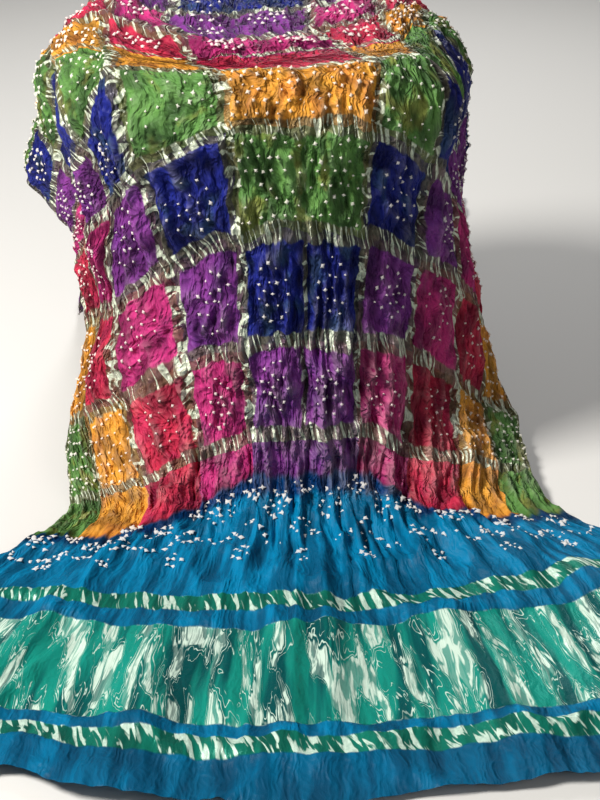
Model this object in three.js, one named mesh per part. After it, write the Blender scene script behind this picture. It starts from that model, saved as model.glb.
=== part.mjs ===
// A crinkled, tie-dyed cloth with metallic checks, thrown over a round padded stool.
// Millimetres, +Z up. The long front fall of the cloth runs towards -Y.
import * as THREE from 'three';

// ---------------------------------------------------------------- stool
const SEAT_TOP = 455;
const SEAT_RADIUS = 214;
const SEAT_ROUNDING = 74; // upper edge of the pad
const PAD_HEIGHT = 74;
const PAD_FOOT_ROUNDING = 8;
const BOARD_RADIUS = 200;
const BOARD_THICKNESS = 18;
const LEG_WIDTH = 34;
const LEG_OFFSET = 112; // leg centre from the stool's axis, along X and along Y
const RAIL_HEIGHT = 28;
const RAIL_THICKNESS = 18;
const RAIL_LEVEL = 130; // middle of the rails above the floor
const FIT = 0.3; // play between pieces that touch

// ---------------------------------------------------------------- cloth
const CLOTH_THICKNESS = 2;
const CLOTH_HALF_WIDTH = 500; // woven width 1000
const FRONT_LENGTH = 1060; // from the middle of the seat to the front hem
const BACK_LENGTH = 1103;
const REST_GAP = 0.5; // under the cloth on the seat
const RIM_RADIUS = SEAT_RADIUS + 3; // the cloth's inner face where it hangs past the rim
const SHOULDER = 64; // the cloth's bend over the rim
const FLAT_RADIUS = RIM_RADIUS - SHOULDER;
const REST_LEVEL = SEAT_TOP + REST_GAP;
const BOARD_UNDER = SEAT_TOP - PAD_HEIGHT - BOARD_THICKNESS;
const PUSH_FADE = 120;
const CREASE_LEAN = 50; // how far the middle crease swings towards +X as it leaves the seat
const CORNER_TURN = 0.12; // share of the rim's angle that a falling thread turns by at first
const CORNER_POWER = 3; // and how late the rest of that turn comes

// Half widths of the gathered cloth on and near the seat.
const GATHER = [
  { along: -300, left: 360, right: 345 },
  { along: -100, left: 360, right: 345 },
  { along: 100, left: 352, right: 345 },
  { along: 250, left: 368, right: 335 },
  { along: 400, left: 360, right: 330 },
];

// How much the side falls flare out below the rim.
const FLARE = { left: 0.34, right: 0.08, ends: 0.03 };

// Sections of the falling and lying cloth, `along` its length from the middle of the seat:
// the middle thread's distance out and up, then each selvedge's place across, out and up.
// `bow` is how round the section is, `sag` how late the selvedges drop.
const FRONT_FALL = [
  { along: 120, out: 150, up: 455, leftX: -236, leftOut: 40, leftUp: 262,
    rightX: 224, rightOut: 30, rightUp: 270, bow: 1.4, sag: 1.6 },
  { along: 200, out: 205, up: 430, leftX: -206, leftOut: 70, leftUp: 235,
    rightX: 230, rightOut: 45, rightUp: 235, bow: 1.4, sag: 1.7 },
  { along: 300, out: 222, up: 345, leftX: -200, leftOut: 85, leftUp: 185,
    rightX: 245, rightOut: 50, rightUp: 165, bow: 1.35, sag: 2.0 },
  { along: 360, out: 224, up: 286, leftX: -192, leftOut: 100, leftUp: 138,
    rightX: 258, rightOut: 55, rightUp: 115, bow: 1.2, sag: 2.3 },
  { along: 460, out: 229, up: 186, leftX: -212, leftOut: 140, leftUp: 50,
    rightX: 285, rightOut: 85, rightUp: 30, bow: 0.95, sag: 2.6 },
  { along: 567, out: 243, up: 80, leftX: -200, leftOut: 235, leftUp: 0,
    rightX: 298, rightOut: 185, rightUp: 0, bow: 0.8, sag: 2.6 },
  { along: 630, out: 268, up: 24, leftX: -202, leftOut: 290, leftUp: 0,
    rightX: 305, rightOut: 245, rightUp: 0, bow: 0.7, sag: 2.4 },
  { along: 690, out: 315, up: 0, leftX: -228, leftOut: 330, leftUp: 0,
    rightX: 325, rightOut: 285, rightUp: 0, bow: 0.6, sag: 2.0 },
  { along: 810, out: 430, up: 0, leftX: -292, leftOut: 405, leftUp: 0,
    rightX: 410, rightOut: 350, rightUp: 0, bow: 0.5, sag: 1.6 },
  { along: 930, out: 548, up: 0, leftX: -345, leftOut: 520, leftUp: 0,
    rightX: 460, rightOut: 475, rightUp: 0, bow: 0.5, sag: 1.5 },
  { along: 1060, out: 678, up: 0, leftX: -375, leftOut: 645, leftUp: 0,
    rightX: 490, rightOut: 600, rightUp: 0, bow: 0.5, sag: 1.5 },
];
const BACK_FALL = [
  { along: 120, out: 150, up: 455, leftX: -240, leftOut: 35, leftUp: 265,
    rightX: 232, rightOut: 35, rightUp: 270, bow: 1.4, sag: 1.6 },
  { along: 200, out: 205, up: 430, leftX: -228, leftOut: 65, leftUp: 240,
    rightX: 236, rightOut: 60, rightUp: 240, bow: 1.4, sag: 1.7 },
  { along: 300, out: 224, up: 345, leftX: -222, leftOut: 90, leftUp: 175,
    rightX: 240, rightOut: 85, rightUp: 175, bow: 1.35, sag: 2.0 },
  { along: 460, out: 232, up: 186, leftX: -240, leftOut: 130, leftUp: 45,
    rightX: 256, rightOut: 120, rightUp: 45, bow: 1.1, sag: 2.2 },
  { along: 570, out: 246, up: 78, leftX: -255, leftOut: 205, leftUp: 0,
    rightX: 270, rightOut: 195, rightUp: 0, bow: 0.9, sag: 2.2 },
  { along: 640, out: 275, up: 18, leftX: -265, leftOut: 260, leftUp: 0,
    rightX: 278, rightOut: 250, rightUp: 0, bow: 0.8, sag: 2.0 },
  { along: 700, out: 325, up: 0, leftX: -262, leftOut: 305, leftUp: 0,
    rightX: 288, rightOut: 295, rightUp: 0, bow: 0.6, sag: 1.7 },
  { along: 880, out: 500, up: 0, leftX: -285, leftOut: 455, leftUp: 0,
    rightX: 300, rightOut: 445, rightUp: 0, bow: 0.5, sag: 1.5 },
  { along: 1103, out: 716, up: 0, leftX: -318, leftOut: 670, leftUp: 0,
    rightX: 316, rightOut: 655, rightUp: 0, bow: 0.5, sag: 1.5 },
];

// Main folds: a soft ridge (or trough, where height is negative) from one place of the cloth
// to another. `across` runs from -1 to 1 between the selvedges.
const FOLDS = [
  // the middle crease, and the pinched fold that carries it on over the floor
  { across: 0, along: 335, toAcross: 0, toAlong: 600, width: 14, height: -7 },
  { across: -0.06, along: 690, toAcross: -0.05, toAlong: 985, width: 17, height: 8 },
  { across: 0.055, along: 720, toAcross: 0.06, toAlong: 960, width: 17, height: 7 },
  // the gathered corners of the seat
  { across: -0.54, along: 150, toAcross: -0.74, toAlong: 290, width: 36, height: 12 },
  { across: -0.36, along: 225, toAcross: -0.44, toAlong: 350, width: 28, height: 8 },
  { across: 0.5, along: 225, toAcross: 0.52, toAlong: 380, width: 26, height: 7 },
  { across: 0.76, along: 260, toAcross: 0.8, toAlong: 420, width: 28, height: 7 },
  // a slack fold across the seat
  { across: -0.5, along: -70, toAcross: -0.27, toAlong: 105, width: 20, height: 7 },
  // the puddled left side and the upright folds near the floor
  { across: -0.8, along: 420, toAcross: -0.92, toAlong: 545, width: 36, height: 13 },
  { across: -0.55, along: 470, toAcross: -0.5, toAlong: 620, width: 24, height: 8 },
  { across: -0.2, along: 480, toAcross: -0.17, toAlong: 740, width: 18, height: 6 },
  { across: 0.14, along: 470, toAcross: 0.17, toAlong: 760, width: 16, height: 6 },
  { across: 0.3, along: 480, toAcross: 0.36, toAlong: 740, width: 18, height: 7 },
  { across: 0.62, along: 440, toAcross: 0.66, toAlong: 600, width: 26, height: 9 },
  { across: 0.5, along: 700, toAcross: 0.64, toAlong: 775, width: 44, height: 14 },
  { across: -0.5, along: 660, toAcross: -0.66, toAlong: 800, width: 34, height: 9 },
  // folds in the lying border
  { across: -0.66, along: 850, toAcross: -0.72, toAlong: 980, width: 24, height: 9 },
  { across: -0.32, along: 965, toAcross: -0.42, toAlong: 1060, width: 36, height: 10 },
  { across: 0.34, along: 850, toAcross: 0.42, toAlong: 1040, width: 28, height: 9 },
  { across: 0.72, along: 820, toAcross: 0.8, toAlong: 1060, width: 30, height: 11 },
  // the back fall
  { across: -0.45, along: -300, toAcross: -0.5, toAlong: -640, width: 26, height: 10 },
  { across: -0.1, along: -330, toAcross: -0.12, toAlong: -760, width: 24, height: 8 },
  { across: 0.25, along: -300, toAcross: 0.3, toAlong: -700, width: 26, height: 10 },
  { across: 0.62, along: -280, toAcross: 0.7, toAlong: -560, width: 28, height: 11 },
  { across: -0.65, along: -740, toAcross: -0.78, toAlong: -1060, width: 34, height: 11 },
  { across: 0.45, along: -760, toAcross: 0.55, toAlong: -1080, width: 34, height: 11 },
];
const FOLD_FADE = 30; // length over which a fold runs out at its ends

// Where the front hem is drawn back.
const HEM_PULL = [
  { across: -1, pull: 0 },
  { across: -0.68, pull: 6 },
  { across: -0.56, pull: 24 },
  { across: -0.44, pull: 2 },
  { across: 0, pull: 0 },
  { across: 0.3, pull: 10 },
  { across: 0.6, pull: 2 },
  { across: 1, pull: 12 },
];
const HEM_REACH = 160;

// The mesh of the sheet: cells across, and cells along it by stretch.
const CELLS_ACROSS = 32;
const MIDDLE_CROWDING = 0.72; // width of the middle cells against even ones
const STRETCHES = [
  { to: -730, cells: 7 },
  { to: -550, cells: 6 },
  { to: -280, cells: 6 },
  { to: -130, cells: 6 },
  { to: 130, cells: 7 },
  { to: 270, cells: 8 },
  { to: 550, cells: 8 },
  { to: 720, cells: 8 },
  { to: FRONT_LENGTH, cells: 8 },
];

// ---------------------------------------------------------------- helpers
const QUARTER = Math.PI / 2;
const clamp = THREE.MathUtils.clamp;
const mix = THREE.MathUtils.lerp;
const ease = THREE.MathUtils.smoothstep;

// The value of a table's column at a place between its rows, on a smooth curve.
function column(table, key, name, place) {
  const last = table.length - 1;
  const x = clamp(place, table[0][key], table[last][key]);
  let i = 0;
  while (i < last - 1 && x > table[i + 1][key]) i += 1;
  const slope = (n) => {
    const low = table[Math.max(n - 1, 0)];
    const high = table[Math.min(n + 1, last)];
    return (high[name] - low[name]) / (high[key] - low[key]);
  };
  const span = table[i + 1][key] - table[i][key];
  const k = (x - table[i][key]) / span;
  const start = table[i][name] * (1 + 2 * k) * (1 - k) ** 2 + span * slope(i) * k * (1 - k) ** 2;
  const end = table[i + 1][name] * k * k * (3 - 2 * k) + span * slope(i + 1) * k * k * (k - 1);
  return start + end;
}

// ---------------------------------------------------------------- the cloth's shape
// Distance from the stool's axis of cloth that has passed `over` beyond the flat of the seat.
function reachOut(over) {
  return FLAT_RADIUS + SHOULDER * Math.sin(Math.min(over / SHOULDER, QUARTER));
}

// Where a thread crosses the rim, as an angle from the front, and how far it has run past it.
function crossRim(side, along) {
  let low = 0;
  let high = QUARTER;
  const turnAt = (angle) => {
    const share = angle / QUARTER;
    return QUARTER * (CORNER_TURN * share + (1 - CORNER_TURN) * share ** CORNER_POWER);
  };
  const overAt = (angle) => {
    const beyond = Math.max(along - FLAT_RADIUS * Math.cos(angle), 0);
    return beyond / Math.max(Math.cos(turnAt(angle)), 1e-9);
  };
  for (let step = 0; step < 46; step += 1) {
    const angle = (low + high) / 2;
    const over = overAt(angle);
    const reach = reachOut(over);
    const across = reach * Math.sin(angle) + (over - reach + FLAT_RADIUS) * Math.sin(turnAt(angle));
    if (across < side) low = angle;
    else high = angle;
  }
  const angle = (low + high) / 2;
  const over = angle > QUARTER - 1e-4 ? side - FLAT_RADIUS : overAt(angle);
  return { angle, over: Math.max(over, 0) };
}

// The cloth on the seat and just past its rim.
function onSeat(side, along) {
  if (Math.hypot(side, along) <= FLAT_RADIUS) return new THREE.Vector3(side, along, REST_LEVEL);
  const { angle, over } = crossRim(Math.abs(side), Math.abs(along));
  const bend = SHOULDER * QUARTER;
  const drop = Math.max(over - bend, 0);
  const flare = side < 0 ? FLARE.left : FLARE.right;
  const sideways = flare * Math.max(over - bend / 2, 0) * (angle / QUARTER) ** 2;
  const radius = reachOut(over) + sideways + FLARE.ends * drop;
  const lowered = SHOULDER * (1 - Math.cos(Math.min(over / SHOULDER, QUARTER))) + drop;
  return new THREE.Vector3(
    Math.sign(side) * radius * Math.sin(angle),
    Math.sign(along) * radius * Math.cos(angle),
    REST_LEVEL - lowered,
  );
}

// The falling and lying cloth, from its table of sections.
function inFall(table, across, along, lean) {
  const at = (name) => column(table, 'along', name, along);
  const edge = across < 0 ? 'left' : 'right';
  const bow = at('bow');
  const sag = at('sag');
  const spread = Math.sin(bow * Math.abs(across)) / Math.sin(bow);
  const drop = (1 - Math.cos(sag * across)) / (1 - Math.cos(sag));
  return new THREE.Vector3(
    mix(lean, at(`${edge}X`), spread),
    mix(at('out'), at(`${edge}Out`), drop),
    mix(at('up'), at(`${edge}Up`), drop),
  );
}

// Keeps the cloth off the pad, less and less below the board.
function clearOfRim(point) {
  const sunk = clamp(REST_LEVEL - point.z, 0, SHOULDER);
  const least = FLAT_RADIUS + Math.sqrt(SHOULDER ** 2 - (SHOULDER - sunk) ** 2);
  const radius = Math.hypot(point.x, point.y);
  if (sunk > 0.01 && radius < least) {
    const pushed = 1 + (least / radius - 1) * ease(point.z, BOARD_UNDER - PUSH_FADE, BOARD_UNDER);
    point.x *= pushed;
    point.y *= pushed;
  }
  return point;
}

// The cloth's under face without its folds. In this frame +Y is towards the front hem.
function drape(across, along) {
  const pull = column(HEM_PULL, 'across', 'pull', across);
  const length = along - pull * ease(along, FRONT_LENGTH - HEM_REACH, FRONT_LENGTH);
  const front = length >= 0;
  const ahead = Math.abs(length);
  const half = column(GATHER, 'along', across < 0 ? 'left' : 'right', length);
  const seat = onSeat(across * half, length);
  const lean = front ? CREASE_LEAN : 0;
  const unleaned = across < 0 ? 0.6 * across ** 2 : ease(across, 0.35, 0.8);
  seat.x += lean * ease(ahead, 60, 200) * (1 - unleaned);
  const fall = inFall(front ? FRONT_FALL : BACK_FALL, across, ahead, lean);
  if (!front) fall.y = -fall.y;
  const share = ease(ahead, 200 - 120 * across ** 2, 360 - 150 * across ** 2);
  return clearOfRim(seat.lerp(fall, share));
}

// Height of all the folds at one place of the cloth.
function foldHeight(across, along) {
  const here = new THREE.Vector2(across * CLOTH_HALF_WIDTH, along);
  let height = 0;
  for (const fold of FOLDS) {
    const start = new THREE.Vector2(fold.across * CLOTH_HALF_WIDTH, fold.along);
    const run = new THREE.Vector2(fold.toAcross * CLOTH_HALF_WIDTH, fold.toAlong).sub(start);
    const length = run.length();
    run.normalize();
    const offset = here.clone().sub(start);
    const passed = offset.dot(run);
    const aside = offset.cross(run);
    const past = Math.max(-passed, passed - length, 0);
    height += fold.height * Math.exp(-((aside / fold.width) ** 2) - (past / FOLD_FADE) ** 2);
  }
  return height;
}

// A point of the cloth's under face and its outward direction, in the model's frame.
function clothPoint(across, along) {
  const point = drape(across, along);
  const sideways = drape(across + 0.004, along).sub(drape(across - 0.004, along));
  const lengthways = drape(across, along + 2).sub(drape(across, along - 2));
  const outward = sideways.cross(lengthways).normalize();
  point.addScaledVector(outward, foldHeight(across, along));
  point.z = Math.max(point.z, 0);
  point.y = -point.y;
  outward.y = -outward.y;
  return { point, outward };
}

function stationsAlong() {
  const stations = [-BACK_LENGTH];
  for (const { to, cells } of STRETCHES) {
    const from = stations[stations.length - 1];
    for (let i = 1; i <= cells; i += 1) stations.push(mix(from, to, i / cells));
  }
  return stations;
}

function stationsAcross() {
  const stations = [];
  for (let i = 0; i <= CELLS_ACROSS; i += 1) {
    const even = (2 * i) / CELLS_ACROSS - 1;
    stations.push(even * (MIDDLE_CROWDING + (1 - MIDDLE_CROWDING) * even ** 2));
  }
  return stations;
}

// One closed sheet: an under face, an upper face and the strip round their edges.
function clothGeometry() {
  const acrossList = stationsAcross();
  const alongList = stationsAlong();
  const columns = acrossList.length;
  const rows = alongList.length;
  const under = [];
  const upper = [];
  for (const along of alongList) {
    for (const across of acrossList) {
      const { point, outward } = clothPoint(across, along);
      under.push(...point.toArray());
      upper.push(...point.addScaledVector(outward, CLOTH_THICKNESS).toArray());
    }
  }
  const topStart = columns * rows;
  const faces = [];
  const quad = (a, b, c, d) => faces.push(a, b, c, a, c, d);
  for (let j = 0; j < rows - 1; j += 1) {
    for (let i = 0; i < columns - 1; i += 1) {
      const a = j * columns + i;
      const b = a + 1;
      const c = b + columns;
      const d = a + columns;
      quad(a, b, c, d);
      quad(topStart + a, topStart + d, topStart + c, topStart + b);
    }
  }
  const rim = [];
  for (let i = 0; i < columns - 1; i += 1) rim.push(i);
  for (let j = 0; j < rows - 1; j += 1) rim.push(j * columns + columns - 1);
  for (let i = columns - 1; i > 0; i -= 1) rim.push((rows - 1) * columns + i);
  for (let j = rows - 1; j > 0; j -= 1) rim.push(j * columns);
  rim.forEach((a, n) => {
    const b = rim[(n + 1) % rim.length];
    quad(b, a, topStart + a, topStart + b);
  });
  const geometry = new THREE.BufferGeometry();
  geometry.setAttribute('position', new THREE.Float32BufferAttribute([...under, ...upper], 3));
  geometry.setIndex(faces);
  geometry.computeVertexNormals();
  return geometry;
}

// ---------------------------------------------------------------- the stool's pieces
function padGeometry() {
  const outline = new THREE.Path();
  outline.moveTo(0, SEAT_TOP - PAD_HEIGHT);
  outline.lineTo(SEAT_RADIUS - PAD_FOOT_ROUNDING, SEAT_TOP - PAD_HEIGHT);
  outline.lineTo(SEAT_RADIUS, SEAT_TOP - PAD_HEIGHT + PAD_FOOT_ROUNDING);
  outline.absarc(SEAT_RADIUS - SEAT_ROUNDING, SEAT_TOP - SEAT_ROUNDING, SEAT_ROUNDING, 0, QUARTER);
  outline.lineTo(0, SEAT_TOP);
  const lathe = new THREE.LatheGeometry(outline.getPoints(8), 48);
  return lathe.rotateX(QUARTER);
}

function boardGeometry() {
  return new THREE.CylinderGeometry(BOARD_RADIUS, BOARD_RADIUS, BOARD_THICKNESS, 48).rotateX(QUARTER);
}

function pieceOf(name, geometry, material) {
  const mesh = new THREE.Mesh(geometry, material);
  mesh.name = name;
  return mesh;
}

function buildStool() {
  const padding = new THREE.MeshStandardMaterial({ color: 0xb9ab98, roughness: 0.9, metalness: 0 });
  const wood = new THREE.MeshStandardMaterial({ color: 0x8a6138, roughness: 0.55, metalness: 0 });
  const stool = new THREE.Group();
  stool.add(pieceOf('seat_pad', padGeometry(), padding));

  const boardTop = SEAT_TOP - PAD_HEIGHT - FIT;
  const board = pieceOf('seat_board', boardGeometry(), wood);
  board.position.z = boardTop - BOARD_THICKNESS / 2;
  stool.add(board);

  const legLength = boardTop - BOARD_THICKNESS - FIT;
  const railLength = 2 * LEG_OFFSET - LEG_WIDTH - 2 * FIT;
  const corners = [
    { name: 'front_left', x: -1, y: -1 },
    { name: 'front_right', x: 1, y: -1 },
    { name: 'back_right', x: 1, y: 1 },
    { name: 'back_left', x: -1, y: 1 },
  ];
  for (const { name, x, y } of corners) {
    const leg = pieceOf(`leg_${name}`, new THREE.BoxGeometry(LEG_WIDTH, LEG_WIDTH, legLength), wood);
    leg.position.set(x * LEG_OFFSET, y * LEG_OFFSET, legLength / 2);
    stool.add(leg);
  }
  const sides = ['front', 'right', 'back', 'left'];
  sides.forEach((name, n) => {
    const rail = pieceOf(`rail_${name}`, new THREE.BoxGeometry(railLength, RAIL_THICKNESS, RAIL_HEIGHT), wood);
    const around = n * QUARTER;
    rail.rotation.z = around;
    rail.position.set(Math.sin(around) * LEG_OFFSET, -Math.cos(around) * LEG_OFFSET, RAIL_LEVEL);
    stool.add(rail);
  });
  return stool;
}

// ---------------------------------------------------------------- the whole
const dyed = new THREE.MeshStandardMaterial({ color: 0x1d78a8, roughness: 0.5, metalness: 0 });
const model = new THREE.Group();
model.add(pieceOf('cloth', clothGeometry(), dyed));
model.add(buildStool());

// The origin is the middle of the bottom of the whole object's box.
const box = new THREE.Box3().setFromObject(model);
const middle = box.getCenter(new THREE.Vector3());
model.position.set(-middle.x, -middle.y, -box.min.z);

export default model;
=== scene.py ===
"""The looks of a bandhani cloth draped over a plain round stool. Metres, +Z up, front towards -Y."""
import math

import bpy
import numpy as np
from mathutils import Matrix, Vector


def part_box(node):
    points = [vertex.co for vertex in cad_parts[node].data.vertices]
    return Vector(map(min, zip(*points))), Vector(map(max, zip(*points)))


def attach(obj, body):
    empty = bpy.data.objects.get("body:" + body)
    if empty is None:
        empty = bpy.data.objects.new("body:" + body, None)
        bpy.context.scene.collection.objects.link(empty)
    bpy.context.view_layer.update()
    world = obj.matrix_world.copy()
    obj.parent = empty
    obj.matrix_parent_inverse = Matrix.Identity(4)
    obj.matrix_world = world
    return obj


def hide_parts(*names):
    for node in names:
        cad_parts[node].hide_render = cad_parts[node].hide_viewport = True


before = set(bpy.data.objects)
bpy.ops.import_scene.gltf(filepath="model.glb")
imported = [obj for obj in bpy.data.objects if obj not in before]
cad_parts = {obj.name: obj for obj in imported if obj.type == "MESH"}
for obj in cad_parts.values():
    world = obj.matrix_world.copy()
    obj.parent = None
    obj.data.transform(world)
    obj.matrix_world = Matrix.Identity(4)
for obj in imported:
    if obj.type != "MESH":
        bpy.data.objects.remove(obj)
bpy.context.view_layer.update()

# ---------------------------------------------------------------- sizes
# The stool, read from the frame.
PAD_LOW, PAD_HIGH = (np.array(corner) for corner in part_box("seat_pad"))
AXIS = (PAD_LOW + PAD_HIGH) / 2
SEAT_TOP = PAD_HIGH[2]
SEAT_RADIUS = (PAD_HIGH[0] - PAD_LOW[0]) / 2

# The cloth as woven, and how it goes over the seat.
WIDTH = 1.0
FRONT_LENGTH = 1.06  # from the middle of the seat to the front hem
BACK_LENGTH = 1.103  # hidden: whole checks fit between two equal borders
LENGTH = FRONT_LENGTH + BACK_LENGTH
SKIN = 0.001  # half the thickness of the cloth's solid
REST_GAP = 0.0005  # under the cloth on the seat
RIM_GAP = 0.003  # between the cloth and the pad where it hangs past the rim
RIM_RADIUS = SEAT_RADIUS + RIM_GAP
SHOULDER = 0.064  # the cloth's rounding over the rim
FLAT_RADIUS = RIM_RADIUS - SHOULDER
REST_LEVEL = SEAT_TOP + REST_GAP
BOARD_THICKNESS = 0.018
BOARD_UNDER = PAD_LOW[2] - BOARD_THICKNESS
PUSH_FADE = 0.12  # the height below the board over which the stool stops pushing the cloth out
CREASE_LEAN = 0.05  # how far to the right the middle of the front fall hangs
CORNER_TURN = 0.12  # how soon threads turn outwards along the rim
CORNER_POWER = 3
FLARE_LEFT, FLARE_RIGHT, FLARE_ENDS = 0.34, 0.08, 0.03  # how far the hanging cloth stands out

# The weave: distances from a hem, and the checks.
CHECK_WIDTH = 0.1
CHECK_LENGTH = 0.107
HALF_CHECKS = 5  # on each side of the middle
CHECKS_START = 0.493
DYE_CHANGE = 0.447
DYE_RISE = 0.062  # how much nearer to the hem the blue starts at the sides
LAST_ROW = 10
TUCKED_ROW = 4  # mostly taken up in a tuck over the front of the rim
TUCK_START = CHECKS_START + TUCKED_ROW * CHECK_LENGTH + 0.003  # leaves the line before it whole
SEAT_ROWS = (5, 8)  # from and to, on top of the seat
METAL_LINE = 0.0155
NARROW_BAND_1 = (0.046, 0.069)
WIDE_BAND = (0.084, 0.213)
NARROW_BAND_2 = (0.236, 0.258)
DYE_COUNT = 6
ORANGE, GREEN = 3, 4  # the dyes whose dots are in slanted rows, by their place in DYES
BORDER_HUE = 6  # marks the dots in the blue ends

# Half widths of the gathered cloth on and near the seat.
GATHER = [
    dict(along=-0.3, left=0.36, right=0.345),
    dict(along=-0.1, left=0.36, right=0.345),
    dict(along=0.1, left=0.352, right=0.345),
    dict(along=0.25, left=0.368, right=0.335),
    dict(along=0.4, left=0.36, right=0.33),
]

# Sections of the falling and lying cloth: the middle thread's distance out and up, then each
# selvedge's place across, out and up. bow: how round; sag: how late the selvedges drop.
FALL_COLUMNS = ("along", "out", "up", "leftX", "leftOut", "leftUp",
                "rightX", "rightOut", "rightUp", "bow", "sag")
FRONT_FALL = [dict(zip(FALL_COLUMNS, row)) for row in (
    (0.120, 0.150, 0.455, -0.236, 0.040, 0.262, 0.224, 0.030, 0.270, 1.40, 1.6),
    (0.200, 0.205, 0.430, -0.206, 0.070, 0.235, 0.230, 0.045, 0.235, 1.40, 1.7),
    (0.300, 0.222, 0.345, -0.200, 0.085, 0.185, 0.245, 0.050, 0.165, 1.35, 2.0),
    (0.360, 0.224, 0.286, -0.192, 0.100, 0.138, 0.258, 0.055, 0.115, 1.20, 2.3),
    (0.460, 0.229, 0.186, -0.212, 0.140, 0.050, 0.285, 0.085, 0.030, 0.95, 2.6),
    (0.567, 0.243, 0.080, -0.200, 0.235, 0.000, 0.298, 0.185, 0.000, 0.80, 2.6),
    (0.630, 0.268, 0.024, -0.202, 0.290, 0.000, 0.305, 0.245, 0.000, 0.70, 2.4),
    (0.690, 0.315, 0.000, -0.228, 0.330, 0.000, 0.325, 0.285, 0.000, 0.60, 2.0),
    (0.810, 0.430, 0.000, -0.292, 0.405, 0.000, 0.410, 0.350, 0.000, 0.50, 1.6),
    (0.930, 0.548, 0.000, -0.345, 0.520, 0.000, 0.460, 0.475, 0.000, 0.50, 1.5),
    (1.060, 0.678, 0.000, -0.375, 0.645, 0.000, 0.490, 0.600, 0.000, 0.50, 1.5),
)]
BACK_FALL = [dict(zip(FALL_COLUMNS, row)) for row in (
    (0.120, 0.150, 0.455, -0.240, 0.035, 0.265, 0.232, 0.035, 0.270, 1.40, 1.6),
    (0.200, 0.205, 0.430, -0.228, 0.065, 0.240, 0.236, 0.060, 0.240, 1.40, 1.7),
    (0.300, 0.224, 0.345, -0.222, 0.090, 0.175, 0.240, 0.085, 0.175, 1.35, 2.0),
    (0.460, 0.232, 0.186, -0.240, 0.130, 0.045, 0.256, 0.120, 0.045, 1.10, 2.2),
    (0.570, 0.246, 0.078, -0.255, 0.205, 0.000, 0.270, 0.195, 0.000, 0.90, 2.2),
    (0.640, 0.275, 0.018, -0.265, 0.260, 0.000, 0.278, 0.250, 0.000, 0.80, 2.0),
    (0.700, 0.325, 0.000, -0.262, 0.305, 0.000, 0.288, 0.295, 0.000, 0.60, 1.7),
    (0.880, 0.500, 0.000, -0.285, 0.455, 0.000, 0.300, 0.445, 0.000, 0.50, 1.5),
    (1.103, 0.716, 0.000, -0.318, 0.670, 0.000, 0.316, 0.655, 0.000, 0.50, 1.5),
)]

# Main folds, each a soft ridge or trough between two places of the cloth.
FOLDS = (  # across, along, to across, to along, width, height
    (0.00, 0.335, 0.00, 0.600, 0.014, -0.007),
    (-0.06, 0.690, -0.05, 0.985, 0.017, 0.008),
    (0.055, 0.720, 0.06, 0.960, 0.017, 0.007),
    (-0.54, 0.150, -0.74, 0.290, 0.036, 0.012),
    (-0.36, 0.225, -0.44, 0.350, 0.028, 0.008),
    (0.50, 0.225, 0.52, 0.380, 0.026, 0.007),
    (0.76, 0.260, 0.80, 0.420, 0.028, 0.007),
    (-0.50, -0.070, -0.27, 0.105, 0.020, 0.007),
    (-0.80, 0.420, -0.92, 0.545, 0.036, 0.013),
    (-0.55, 0.470, -0.50, 0.620, 0.024, 0.008),
    (-0.20, 0.480, -0.17, 0.740, 0.018, 0.006),
    (0.14, 0.470, 0.17, 0.760, 0.016, 0.006),
    (0.30, 0.480, 0.36, 0.740, 0.018, 0.007),
    (0.62, 0.440, 0.66, 0.600, 0.026, 0.009),
    (0.50, 0.700, 0.64, 0.775, 0.044, 0.014),
    (-0.50, 0.660, -0.66, 0.800, 0.034, 0.009),
    (-0.66, 0.850, -0.72, 0.980, 0.024, 0.009),
    (-0.32, 0.965, -0.42, 1.060, 0.036, 0.010),
    (0.34, 0.850, 0.42, 1.040, 0.028, 0.009),
    (0.72, 0.820, 0.80, 1.060, 0.030, 0.011),
    (-0.45, -0.300, -0.50, -0.640, 0.026, 0.010),
    (-0.10, -0.330, -0.12, -0.760, 0.024, 0.008),
    (0.25, -0.300, 0.30, -0.700, 0.026, 0.010),
    (0.62, -0.280, 0.70, -0.560, 0.028, 0.011),
    (-0.65, -0.740, -0.78, -1.060, 0.034, 0.011),
    (0.45, -0.760, 0.55, -1.080, 0.034, 0.011),
)
FOLD_FADE = 0.03

# Sharper creases that only the thin sheet has; steep is how much narrower the side is that
# lies to the left of the run from the first place to the second.
CREASES = (  # across, along, to across, to along, width, height, steep
    (-0.47, 0.050, -0.22, 0.150, 0.016, 0.008, 0.35),  # slanting over the seat's left front
    (-0.43, 0.140, -0.50, 0.300, 0.020, 0.010, 0.30),  # the pleat down the left front
    (-0.62, 0.170, -0.72, 0.330, 0.018, 0.006, 0.50),
    (0.055, 0.560, 0.03, 0.960, 0.012, 0.005, 3.0),  # either side of the middle crease
    (-0.02, 0.600, -0.03, 0.940, 0.012, 0.005, 0.35),
    (-0.58, 0.890, -0.66, 0.980, 0.016, 0.007, 0.40),
    (-0.10, 0.870, -0.12, 0.990, 0.012, 0.005, 0.40),
    (0.26, 0.860, 0.30, 1.000, 0.014, 0.004, 0.50),
    (-0.36, 0.860, -0.34, 0.960, 0.014, 0.004, 2.5),
    (0.42, 0.640, 0.48, 0.760, 0.016, 0.008, 0.40),
    (0.56, 0.660, 0.66, 0.740, 0.016, 0.008, 0.40),
    (0.10, 0.600, 0.12, 0.800, 0.010, 0.004, 0.50),
    (0.20, 0.590, 0.23, 0.780, 0.010, 0.004, 0.50),
    (0.30, 0.600, 0.34, 0.720, 0.011, 0.005, 0.50),
)

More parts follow.
